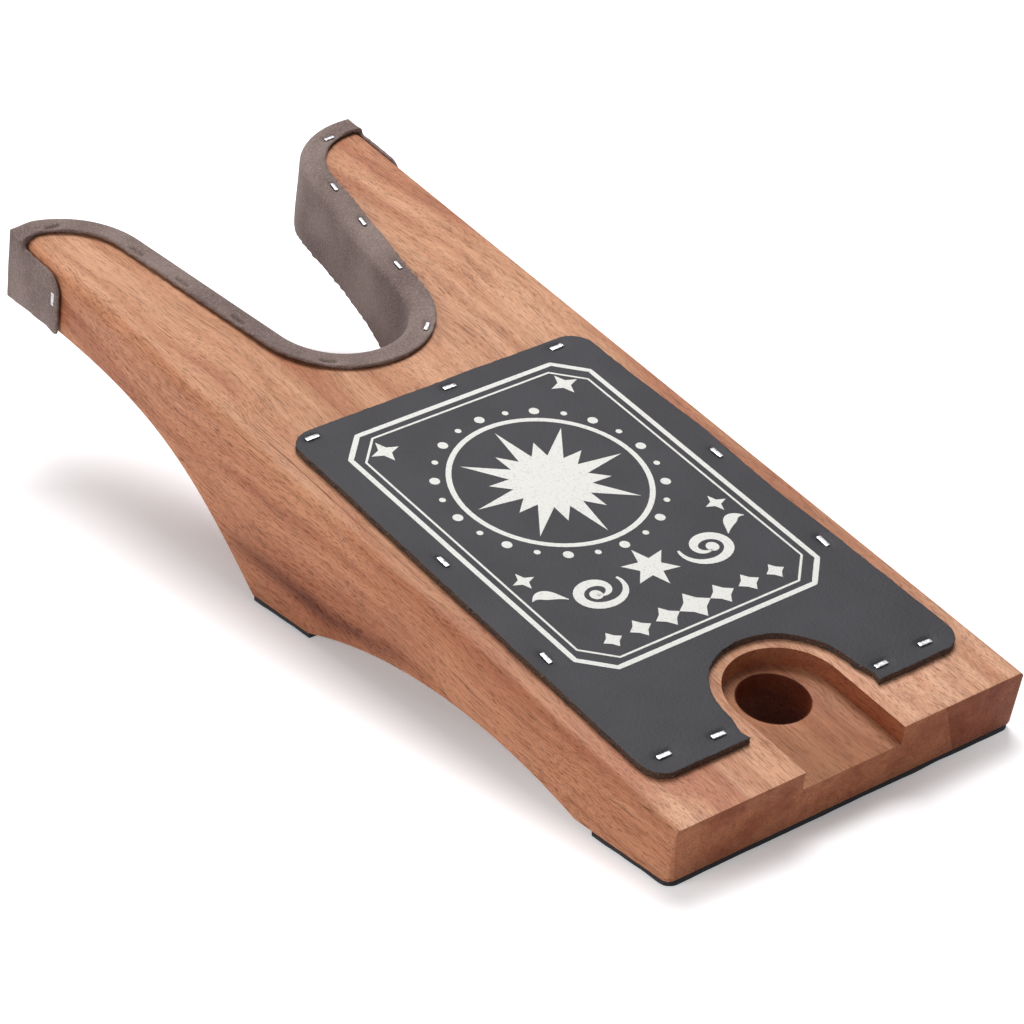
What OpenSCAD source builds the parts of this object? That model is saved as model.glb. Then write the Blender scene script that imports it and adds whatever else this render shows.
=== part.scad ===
// Boot jack: a forked hardwood block with a leather tread plate, a suede fork
// liner, two rubber pads and their staples. Millimetres.
// World frame: X across the prongs, Y from the low front end to the fork, Z up,
// origin at the middle of the bounding box's base.
// Sloped frame: x across, y along the sloping top from its front edge, z out of
// the top. Every feature of the top is drawn in the sloped frame.

/* [Block] */
// Width of the block
block_width = 120; // [90:1:160]
// Length of the sloping top, front edge to prong ends
top_length = 302.2; // [270:1:360]
// Slope of the top in degrees
top_slope = 9.9; // [7:0.1:13]
// Height of the top's front edge over the floor
front_height = 19.1; // [17:0.5:26]
// Thickness of the prongs at their ends, square to the top
tip_thickness = 23; // [18:0.5:30]
// Round-over along the left top edge
left_round = 5; // [1:0.5:8]
// Round-over along the right top edge
right_round = 2; // [1:0.5:8]
// Chamfer of the front top edge and of the two front corners
front_chamfer = 2; // [0.5:0.25:4]

/* [Underside] */
// Radius of the arch between the pads
arch_radius = 180; // [150:1:260]
// Distance of the arch's middle from the front edge
arch_middle = 97.4; // [85:0.5:110]
// Height of the arch over the floor
arch_height = 11.6; // [6:0.5:13]
// Distance of the foot's rear edge from the front edge
foot_rear = 181.5; // [175:0.5:200]
// Angle at which the underside leaves the foot
heel_angle = 44; // [30:1:60]
// Angle at which the underside reaches the prong ends
tip_angle = 3.5; // [0:0.5:10]
// How far the heel angle carries on into the curve
heel_pull = 43; // [25:1:60]
// How far the tip angle carries on into the curve
tip_pull = 73; // [40:1:90]

/* [Fork] */
// Radius of the fork's bend in the wood
fork_radius = 22.3; // [18:0.1:30]
// Wood between the plate's rear edge and the fold around the bend
plate_fork_gap = 15.5; // [8:0.1:30]
// Sideways place of the bend's centre
fork_offset = -2.1; // [-6:0.1:6]
// Angle of the left fork wall to the block's length
flare_left = 8; // [0:0.5:14]
// Angle of the right fork wall to the block's length
flare_right = 10.5; // [0:0.5:14]
// Radius of each prong's inner end corner
prong_corner = 27; // [10:0.5:28]

/* [Recess and hole] */
// Half width of the recess, also its end radius
recess_radius = 17.1; // [13:0.1:22]
// Distance of the recess's centre from the front edge
recess_centre = 27; // [20:0.5:34]
// Depth of the recess
recess_depth = 5.9; // [3:0.1:8]
// Radius of the hanging hole
hole_radius = 10.1; // [6:0.1:12]
// Distance of the hole's centre from the front edge
hole_centre = 31; // [26:0.5:34]

/* [Leather plate] */
// Thickness of the leather
plate_thickness = 2; // [1:0.1:4]
// Distance of the plate's front edge from the block's front edge
plate_front = 16; // [10:0.5:24]
// Length of the plate
plate_length = 162; // [140:1:165]
// Margin of wood beside the plate at its front
plate_margin_front = 6.6; // [4:0.1:12]
// Margin of wood beside the plate at its rear
plate_margin_rear = 8.5; // [4:0.1:12]
// Radius of the plate's outer corners
plate_corner = 7; // [3:0.5:12]
// Radius of the arch cut around the recess
plate_arch = 21.3; // [19:0.1:28]
// Distance of that arch's centre from the block's front edge
plate_arch_centre = 26; // [20:0.5:34]
// Distance of the plate's inner front corners from the recess
lobe_gap = 5.2; // [3:0.1:10]

/* [Suede liner] */
// Thickness of the suede
liner_thickness = 1.5; // [0.8:0.1:3]
// Width of wood under the fold, beside the fork and at the prong ends
fold_width = 6.6; // [4:0.1:9]
// Length of each outer flap along the side
flap_length = 28; // [15:0.5:40]
// Drop of each flap's edge under the top
flap_drop = 2; // [0.5:0.5:6]
// Radius of each flap's free top corner
flap_corner = 6; // [2:0.5:9]
// How far the suede hangs below the underside
liner_hang = 0.6; // [0:0.1:3]

/* [Pads] */
// Thickness of the rubber pads
pad_thickness = 2; // [1:0.1:4]
// Distance of the front pad's rear edge from the front edge
front_pad_rear = 33.5; // [28:0.5:36]
// Set-back of the pads from the block's sides
pad_inset = 1.2; // [0:0.1:4]
// Radius of the front pad's two front corners
pad_corner = 3; // [0.5:0.5:8]
// Clearance of the front pad around the hanging hole
pad_hole_clearance = 0.6; // [0.2:0.1:2]

/* [Staples] */
// Length of a staple's crown
staple_length = 5; // [4:0.1:7]
// Width of the flat wire
wire_width = 1.2; // [0.8:0.1:1.8]
// Thickness of the flat wire
wire_thickness = 0.6; // [0.4:0.1:1]
// Length of a staple's leg below its crown
leg_length = 7; // [4:0.5:12]
// How far a crown stands proud of what it holds
crown_proud = 0.2; // [0:0.05:0.4]
// Clearance around a crown in its dent
crown_clearance = 0.2; // [0.1:0.05:0.5]
// Clearance around a leg in what it is driven into
leg_clearance = 0.05; // [0.02:0.01:0.2]
// Distance of a flap's staple from the flap's free edge
flap_staple_in = 2.6; // [1.5:0.1:6]
// Distance of a flap's staple under the top
flap_staple_drop = 9.7; // [6:0.1:14]

/* [Hidden] */
$fn = 64;
over = 3;                       // overshoot of cutting shapes
deep = 90;                      // more than the block's depth
half_width = block_width / 2;
wide = half_width + liner_thickness;
rise = sin(top_slope);
run = cos(top_slope);
// prong end, lower corner in the wood, measured from the front top edge
tip_y = top_length * run + tip_thickness * rise;
tip_z = front_height + top_length * rise - tip_thickness * run;
// bounding box along Y: foot of the front chamfer, lower rear edge of the liner
y_least = front_chamfer * rise;
liner_end = top_length + liner_thickness;
liner_low = (tip_z - liner_hang - front_height - liner_end * rise) / run;
y_most = liner_end * run - liner_low * rise;
front_y = -(y_least + y_most) / 2;
// foot: from the arch's rear end to the heel curve's start
arch_half = sqrt(pow(arch_radius, 2) - pow(arch_radius - arch_height + pad_thickness, 2));
foot_front = arch_middle + arch_half;
// plate corners
plate_rear = plate_front + plate_length;
plate_half_front = half_width - plate_margin_front;
plate_half_rear = half_width - plate_margin_rear;
plate_low_x = recess_radius + lobe_gap;
// middle of the fork's bend
fork_centre = plate_rear + plate_fork_gap + fold_width + fork_radius;
// flap and fold
flap_front = liner_end - flap_length;
fold_end = top_length - fold_width;

// ---------------------------------------------------------------- frames

module sloped() {
    translate([0, front_y, front_height]) rotate([top_slope, 0, 0]) children();
}

// A profile drawn in (y, z), from the front top edge and the floor, across the block
module across(half) {
    translate([-half, front_y, 0]) rotate([90, 0, 90])
        linear_extrude(2 * half) children();
}

// A profile drawn in (y, z) of the sloped frame, from x0 over a width
module sloped_across(x0, width) {
    translate([x0, 0, 0]) rotate([90, 0, 90]) linear_extrude(width) children();
}

// ------------------------------------------------------------- 2-D shapes

function flare(side) = side < 0 ? flare_left : flare_right;

// Distance from the bend's middle to a wall r from it, at a place y along the block
function fork_half(r, y, side) = (r + (y - fork_centre) * sin(flare(side))) / cos(flare(side));

// Centre of the corner circle that joins a fork wall to the end line
function corner_centre(r, corner, end, side) =
    [fork_offset + side * fork_half(r + corner, end - corner, side), end - corner];

// Points of a prong's inner end corner, from the fork wall to the end line
corner_steps = 24;
function corner_arc(r, corner, end, side) = [for (i = [0:corner_steps])
    let (a = flare(side) + i / corner_steps * (90 - flare(side)))
    corner_centre(r, corner, end, side) + corner * [-side * cos(a), sin(a)]];

// Start of the straight fork wall on the bend's circle
function wall_start(r, side) =
    [fork_offset + side * r * cos(flare(side)), fork_centre - r * sin(flare(side))];

// Open area of the fork: bend radius r, corner radius, end line of the prongs
module fork_opening(r, corner, end) {
    right = corner_arc(r, corner, end, 1);
    left = corner_arc(r, corner, end, -1);
    translate([fork_offset, fork_centre]) circle(r);
    polygon(concat([wall_start(r, 1)], right, [right[corner_steps] + [0, over],
        left[corner_steps] + [0, over]], [for (i = [corner_steps:-1:0]) left[i]],
        [wall_start(r, -1)]));
}

module wood_opening() {
    fork_opening(fork_radius, prong_corner, top_length);
}

module liner_opening() {
    fork_opening(fork_radius - liner_thickness, prong_corner + liner_thickness, liner_end);
}

module fold_opening() {
    fork_opening(fork_radius + fold_width, prong_corner - fold_width, fold_end);
}

module rect(x0, y0, x1, y1) {
    translate([x0, y0]) square([x1 - x0, y1 - y0]);
}

// What a long top edge of the block loses to its round-over, drawn in (x, z)
module edge_round(side, radius) {
    difference() {
        polygon([[side * (half_width - radius), 0], [side * half_width, 0],
            [side * half_width, -radius], [side * (half_width - radius), -radius]]);
        translate([side * (half_width - radius), -radius]) circle(radius);
    }
}

// Thicker suede over a rounded long edge, clear of the round-over, drawn in (x, z)
module edge_fill(side, radius) {
    leg = radius * (2 - sqrt(2));
    polygon([[side * half_width, 0], [side * (half_width - leg), 0], [side * half_width, -leg]]);
}

// Point at t, 0 to 1, along the underside's curve behind the foot
function curve(t, a, b, c, d) = pow(1 - t, 3) * a + 3 * t * pow(1 - t, 2) * b
    + 3 * t * t * (1 - t) * c + t * t * t * d;
heel_point = [foot_rear, pad_thickness];
tip_point = [tip_y, tip_z];
heel_handle = heel_point + heel_pull * [cos(heel_angle), sin(heel_angle)];
tip_handle = tip_point - tip_pull * [cos(tip_angle), sin(tip_angle)];
curve_steps = 28;
under_curve = [for (i = [0:curve_steps])
    curve(i / curve_steps, heel_point, heel_handle, tip_handle, tip_point)];

// Everything above the block's underside
module over_underside() {
    difference() {
        polygon(concat([[-20, pad_thickness]], under_curve,
            [[tip_y + 20, tip_z], [tip_y + 20, 150], [-20, 150]]));
        translate([arch_middle, arch_height - arch_radius]) circle(arch_radius, $fn = 180);
    }
}

// ------------------------------------------------------------------ block

module top_section() {
    difference() {
        rect(-half_width, -deep, half_width, 0);
        edge_round(-1, left_round);
        edge_round(1, right_round);
    }
}

module block_plan() {
    difference() {
        polygon([[-half_width + front_chamfer, 0], [half_width - front_chamfer, 0],
            [half_width + 10, front_chamfer + 10], [half_width + 10, top_length],
            [-half_width - 10, top_length], [-half_width - 10, front_chamfer + 10]]);
        wood_opening();
    }
}

module recess_plan() {
    translate([0, recess_centre]) circle(recess_radius);
    rect(-recess_radius, -2 * over, recess_radius, recess_centre);
}

module block_body() {
    difference() {
        intersection() {
            sloped() translate([0, 0, -deep]) linear_extrude(deep + 2 * over) block_plan();
            sloped() translate([0, top_length + 10, 0]) rotate([90, 0, 0])
                linear_extrude(top_length + 20) top_section();
            across(half_width + 20) over_underside();
        }
        sloped() {
            sloped_across(-half_width - over, block_width + 2 * over)
                polygon([[-over, -front_chamfer - over], [front_chamfer + over, over], [-over, over]]);
            translate([0, 0, -recess_depth]) linear_extrude(recess_depth + over) recess_plan();
            translate([0, hole_centre, -deep]) cylinder(r = hole_radius, h = deep);
        }
    }
}

module wood_block() {
    color("#b98262") difference() {
        block_body();
        plate_places() legs(leg_clearance);
        liner_places() legs(leg_clearance);
        flap_places() legs(leg_clearance);
    }
}

// ---------------------------------------------------------------- leather

// Outer corners of the plate, counter-clockwise, drawn in by the corner radius
plate_ring = [
    [plate_half_front - plate_corner, plate_front + plate_corner],
    [plate_half_rear - plate_corner, plate_rear - plate_corner],
    [-plate_half_rear + plate_corner, plate_rear - plate_corner],
    [-plate_half_front + plate_corner, plate_front + plate_corner]];
function outward(a, b) = [b[1] - a[1], a[0] - b[0]] / norm(b - a);

module plate_plan() {
    difference() {
        union() {
            polygon([for (i = [0:3], end = [0, 1])
                let (a = plate_ring[i], b = plate_ring[(i + 1) % 4])
                (end == 0 ? a : b) + plate_corner * outward(a, b)]);
            for (p = plate_ring) translate(p) circle(plate_corner);
        }
        translate([0, plate_arch_centre]) circle(plate_arch);
        polygon([[-plate_low_x, plate_front - over], [plate_low_x, plate_front - over],
            [plate_arch, plate_arch_centre], [-plate_arch, plate_arch_centre]]);
    }
}

module leather_plate() {
    color("#4a484c") difference() {
        sloped() linear_extrude(plate_thickness) plate_plan();
        plate_places() legs(leg_clearance);
        plate_places() dent();
    }
}

// ------------------------------------------------------------------ suede

// Plan of everything the suede can cover, its rear corners rounded
module liner_outline() {
    rect(-wide, fork_centre - deep, wide, top_length);
    rect(-half_width, fork_centre, half_width, liner_end);
    for (side = [-1, 1]) translate([side * half_width, top_length]) circle(liner_thickness);
}

// Plan of the suede against the fork walls and round the prong ends
module wall_plan() {
    difference() {
        intersection() {
            liner_outline();
            union() {
                rect(-half_width, fork_centre - deep, half_width, liner_end + over);
                rect(-wide - over, fold_end, wide + over, liner_end + over);
            }
        }
        liner_opening();
        difference() {
            rect(-half_width, 0, half_width, top_length);
            wood_opening();
        }
    }
}

// Plan of the suede folded over the top
module fold_plan() {
    difference() {
        intersection() {
            liner_outline();
            union() {
                fold_opening();
                rect(-wide - over, fold_end, wide + over, liner_end + over);
            }
        }
        liner_opening();
    }
}

// One outer flap, drawn in (y, z) of the sloped frame
module flap_shape() {
    rect(flap_front, -deep, top_length, -flap_drop - flap_corner);
    rect(flap_front + flap_corner, -deep, top_length, -flap_drop);
    translate([flap_front + flap_corner, -flap_drop - flap_corner]) circle(flap_corner);
}

module liner_body() {
    intersection() {
        sloped() {
            translate([0, 0, -deep]) linear_extrude(deep + liner_thickness) wall_plan();
            linear_extrude(liner_thickness) fold_plan();
            sloped_across(half_width, liner_thickness) flap_shape();
            sloped_across(-wide, liner_thickness) flap_shape();
            translate([0, top_length, 0]) rotate([90, 0, 0]) linear_extrude(fold_width) {
                edge_fill(-1, left_round);
                edge_fill(1, right_round);
            }
        }
        translate([0, 0, -liner_hang]) across(half_width + 20) over_underside();
    }
}

module suede_liner() {
    color("#83776f") difference() {
        liner_body();
        liner_places() legs(leg_clearance);
        liner_places() dent();
        flap_places() legs(leg_clearance);
        flap_places() dent();
    }
}

// ------------------------------------------------------------------- pads

module pad(y0, y1) {
    translate([0, front_y, 0]) linear_extrude(pad_thickness)
        rect(-half_width + pad_inset, y0, half_width - pad_inset, y1);
}

module front_pad() {
    y0 = front_height * rise / run;
    x1 = half_width - pad_inset - pad_corner;
    color("#242326") difference() {
        union() {
            pad(y0 + pad_corner, min(front_pad_rear, arch_middle - arch_half - 1));
            translate([0, front_y, 0]) linear_extrude(pad_thickness) {
                rect(-x1, y0, x1, y0 + 2 * pad_corner);
                for (x = [-x1, x1]) translate([x, y0 + pad_corner]) circle(pad_corner);
            }
        }
        sloped() translate([0, hole_centre, -deep])
            cylinder(r = hole_radius + pad_hole_clearance, h = deep);
    }
}

module heel_pad() {
    color("#242326") pad(foot_front, foot_rear);
}

// ---------------------------------------------------------------- staples

// Staples are drawn with z = 0 on the outside of what they hold, crown along x

module crown() {
    translate([-staple_length / 2, -wire_width / 2, crown_proud - wire_thickness])
        cube([staple_length, wire_width, wire_thickness]);
}

// The two legs, or with a fit the slits that hold them
module legs(fit = 0) {
    for (x = [-staple_length / 2, staple_length / 2 - wire_thickness])
        translate([x - fit, -wire_width / 2 - fit, crown_proud - wire_thickness - leg_length - fit])
            cube([wire_thickness + 2 * fit, wire_width + 2 * fit, leg_length + 2 * fit]);
}

module staple() {
    union() {
        crown();
        legs();
    }
}

// Dent that a crown presses into the soft cover
module dent() {
    floor_z = crown_proud - wire_thickness;
    translate([-staple_length / 2 - crown_clearance, -wire_width / 2 - crown_clearance, floor_z])
        cube([staple_length + 2 * crown_clearance, wire_width + 2 * crown_clearance,
            wire_thickness + over]);
}

// Puts the children at each [x, y, angle] of a list, at a height over the top
module on_top(places, height) {
    sloped() for (p = places) translate([p[0], p[1], height]) rotate([0, 0, p[2]]) children();
}

// Half width of the plate at a place y along the block
function plate_half(y) = plate_half_front
    + (plate_half_rear - plate_half_front) * (y - plate_front) / plate_length;

// Rows of [part of the plate's length, distance in from its edge]
left_rows = [[0.32, 5.1], [0.6, 5.6]];
right_rows = [[0.32, 4.3], [0.6, 3.3]];
function side_places(rows, side) = [for (r = rows)
    let (y = plate_front + r[0] * plate_length) [side * (plate_half(y) - r[1]), y, 90]];
left_places = side_places(left_rows, -1);
right_places = side_places(right_rows, 1);
upper_places = [for (x = [-0.87, 0.05, 0.8]) [x * plate_half_rear, plate_rear - 3, 0]];
lower_places = [for (p = [[-0.75, 6.6], [-0.2, 5.4], [0.15, 4.6], [0.672, 5.2]])
    let (reach = plate_low_x + abs(p[0]) * (plate_half_front - plate_low_x))
    [sign(p[0]) * reach, plate_front + p[1], 0]];

// Staples of the fold on one prong: along the wall, in the bend, at the end
fold_staple_in = 4.3;
wall_rows = [0.12, 0.44, 0.7];
bend_angle = 41;
end_angle = 23;
function fold_places(side) = let (
    r = fork_radius + fold_staple_in,
    end = corner_centre(fork_radius, prong_corner, top_length, side)
        + (prong_corner - fold_staple_in) * [-side * sin(end_angle), cos(end_angle)]) concat(
    [for (t = wall_rows) let (y = fork_centre + t * (fold_end - fork_centre))
        [fork_offset + side * fork_half(r, y, side), y, 90 - side * flare(side)]],
    [[fork_offset + side * r * sin(bend_angle), fork_centre - r * cos(bend_angle),
        side * bend_angle]],
    [[end[0], end[1], side * 4]]);

module plate_places() {
    on_top(concat(upper_places, left_places, right_places, lower_places), plate_thickness)
        children();
}

module liner_places() {
    on_top(concat(fold_places(-1), fold_places(1)), liner_thickness) children();
}

// A staple in each outer flap, with its crown square to the top
module flap_places() {
    sloped() for (side = [-1, 1])
        translate([side * wide, flap_front + flap_staple_in, -flap_staple_drop])
            rotate([0, side * 90, 0]) children();
}

module plate_staples_upper() { color("#d8d8da") on_top(upper_places, plate_thickness) staple(); }
module plate_staples_left() { color("#d8d8da") on_top(left_places, plate_thickness) staple(); }
module plate_staples_right() { color("#d8d8da") on_top(right_places, plate_thickness) staple(); }
module plate_staples_lower() { color("#d8d8da") on_top(lower_places, plate_thickness) staple(); }
module liner_staples_left() { color("#d8d8da") on_top(fold_places(-1), liner_thickness) staple(); }
module liner_staples_right() { color("#d8d8da") on_top(fold_places(1), liner_thickness) staple(); }
module flap_staples() { color("#d8d8da") flap_places() staple(); }

// --------------------------------------------------------------- assembly

wood_block();
leather_plate();
suede_liner();
front_pad();
heel_pad();
plate_staples_upper();
plate_staples_left();
plate_staples_right();
plate_staples_lower();
liner_staples_left();
liner_staples_right();
flap_staples();
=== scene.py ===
"""Boot jack: hardwood block, leather tread plate, suede fork liner, rubber pads, staples.

Sizes are millimetres, as in the part's source, and become metres where a mesh is made.
The "top frame" has x across the prongs, y along the sloping top from its front edge,
and z out of the top.
"""

from __future__ import annotations

import logging
import math
from dataclasses import dataclass, field
from enum import Enum
from typing import Any, Callable, Iterable, Sequence

import bmesh
import bpy
from mathutils import Matrix, Vector, noise

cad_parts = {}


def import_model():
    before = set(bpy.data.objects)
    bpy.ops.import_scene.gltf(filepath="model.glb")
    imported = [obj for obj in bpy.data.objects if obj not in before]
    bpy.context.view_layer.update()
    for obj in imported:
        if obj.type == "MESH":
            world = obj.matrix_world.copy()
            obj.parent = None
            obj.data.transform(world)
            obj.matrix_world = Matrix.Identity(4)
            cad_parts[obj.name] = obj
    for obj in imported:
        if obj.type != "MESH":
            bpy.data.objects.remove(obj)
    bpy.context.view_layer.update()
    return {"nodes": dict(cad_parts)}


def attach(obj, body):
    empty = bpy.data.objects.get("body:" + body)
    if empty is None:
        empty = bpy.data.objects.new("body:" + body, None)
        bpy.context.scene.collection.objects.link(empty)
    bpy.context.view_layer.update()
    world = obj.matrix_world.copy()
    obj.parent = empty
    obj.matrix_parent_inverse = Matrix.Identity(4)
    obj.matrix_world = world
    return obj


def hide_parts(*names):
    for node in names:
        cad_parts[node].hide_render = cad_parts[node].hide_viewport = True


LOG = logging.getLogger("boot_jack")
MM = 0.001
# vertices of one corner lie closer together than this, in metres
WELD = 0.00001
BODY = "root"
Point = tuple[float, float]
Place = tuple[float, float, float]
Stops = Sequence[tuple[float, Any]]


# ------------------------------------------------------------------- sizes and frames


@dataclass(frozen=True)
class PartSizes:
    """Sizes of the part's source that several pieces follow."""

    half_width: float = 60.0
    top_length: float = 302.2
    plate_front: float = 16.0
    plate_length: float = 162.0
    plate_half_front: float = 53.4
    plate_half_rear: float = 51.5
    plate_thickness: float = 2.0
    liner_thickness: float = 1.5
    fold_width: float = 6.6
    flap_front: float = 275.7
    flap_staple_in: float = 2.6
    flap_staple_drop: float = 9.7

    @property
    def plate_rear(self) -> float:
        """Place of the plate's rear edge."""
        return self.plate_front + self.plate_length


SIZES = PartSizes()


@dataclass(frozen=True)
class TopFrame:
    """Place and slope of the block's top in the row frame."""

    slope: float = math.radians(9.9)
    front_y: float = -151.81
    front_z: float = 19.1

    @property
    def matrix(self) -> Matrix:
        """Matrix from the top frame to the row frame, both in metres."""
        place = Matrix.Translation((0.0, self.front_y * MM, self.front_z * MM))
        return place @ Matrix.Rotation(self.slope, 4, "X")

    @property
    def up(self) -> Vector:
        """Direction out of the top in the row frame."""
        return self.matrix.to_3x3() @ Vector((0, 0, 1))


TOP = TopFrame()


def around(cx: float, cy: float, radius: float, angle: float) -> Point:
    """Point of a circle at an angle in radians."""
    return (cx + radius * math.cos(angle), cy + radius * math.sin(angle))


def arc(cx: float, cy: float, radius: float, start: float, end: float, steps: int) -> list[Point]:
    """Points of a circle from one angle to another, both included."""
    return [around(cx, cy, radius, start + (end - start) * i / steps) for i in range(steps + 1)]


def divided(p: Point, q: Point, size: float, least: int = 1) -> list[Point]:
    """Points from p up to, but without, q in steps of about a size."""
    steps = max(least, round(math.dist(p, q) / size))
    return [(p[0] + (q[0] - p[0]) * i / steps, p[1] + (q[1] - p[1]) * i / steps) for i in range(steps)]


@dataclass(frozen=True)
class ForkShape:
    """Open area between the prongs, in the top frame.

    Attributes:
        bend: Radius of the fork's bend.
        corner: Radius of each prong's inner end corner.
        end: Place of the prongs' end line.
    """

    bend: float = 22.3
    corner: float = 27.0
    end: float = SIZES.top_length
    centre: Point = (-2.1, 222.4)
    flare_left: float = math.radians(8.0)
    flare_right: float = math.radians(10.5)
    corner_steps: int = 20
    bend_steps: int = 40

    def grown(self, by: float) -> "ForkShape":
        """The shape whose walls lie further out by this many millimetres."""
        return ForkShape(self.bend + by, self.corner - by, self.end - by)

    def flare(self, side: int) -> float:
        """Angle of a wall to the block's length; side is -1 left or 1 right."""
        return self.flare_left if side < 0 else self.flare_right

    def half(self, reach: float, along: float, side: int) -> float:
        """Distance from the bend's middle to a wall that passes it at reach."""
        angle = self.flare(side)
        return (reach + (along - self.centre[1]) * math.sin(angle)) / math.cos(angle)

    def corner_centre(self, side: int) -> Point:
        """Centre of a prong's end corner."""
        along = self.end - self.corner
        reach = self.half(self.bend + self.corner, along, side)
        return (self.centre[0] + side * reach, along)

    def corner_arc(self, side: int) -> list[Point]:
        """Points of a prong's end corner, from the wall to the end line."""
        cx, cy = self.corner_centre(side)
        start = self.flare(side)
        angles = (start + (math.pi / 2 - start) * i / self.corner_steps for i in range(self.corner_steps + 1))
        return [(cx - side * self.corner * math.cos(a), cy + self.corner * math.sin(a)) for a in angles]

    def bend_arc(self) -> list[Point]:
        """Points of the bend, from the left wall round to the right one."""
        first, last = math.pi + self.flare_left, 2 * math.pi - self.flare_right
        return arc(*self.centre, self.bend, first, last, self.bend_steps)

    def outline(self, beyond: float) -> list[Point]:
        """Closed outline of the open area, carried on past the end line."""
        right, left = self.corner_arc(1), self.corner_arc(-1)
        far = self.end + beyond
        return self.bend_arc() + right + [(right[-1][0], far), (left[-1][0], far)] + left[::-1]

    def depth(self, x: float, y: float) -> float:
        """Distance of a point behind the fork's wall: positive in the block."""
        side = -1 if x < self.centre[0] else 1
        across = abs(x - self.centre[0])
        ahead = y - self.centre[1]
        angle = self.flare(side)
        cx, cy = self.corner_centre(side)
        cx = abs(cx - self.centre[0])
        run = ahead * math.cos(angle) + across * math.sin(angle)
        run_end = (cy - self.centre[1]) * math.cos(angle) + cx * math.sin(angle)
        if run < 0:
            return math.hypot(across, ahead) - self.bend
        if run < run_end:
            return across * math.cos(angle) - ahead * math.sin(angle) - self.bend
        if across < cx:
            return self.corner - math.hypot(across - cx, y - cy)
        return self.end - y


# ------------------------------------------------------------------------- materials


def linear(hex_colour: str) -> tuple[float, float, float, float]:
    """Turns an sRGB hex colour to linear light.

    Args:
        hex_colour: Six hex digits with a leading #.

    Returns:
        Linear red, green, blue and an alpha of 1.
    """
    channels = [int(hex_colour[i : i + 2], 16) / 255 for i in (1, 3, 5)]
    r, g, b = (c / 12.92 if c <= 0.04045 else ((c + 0.055) / 1.055) ** 2.4 for c in channels)
    return (r, g, b, 1.0)


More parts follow.
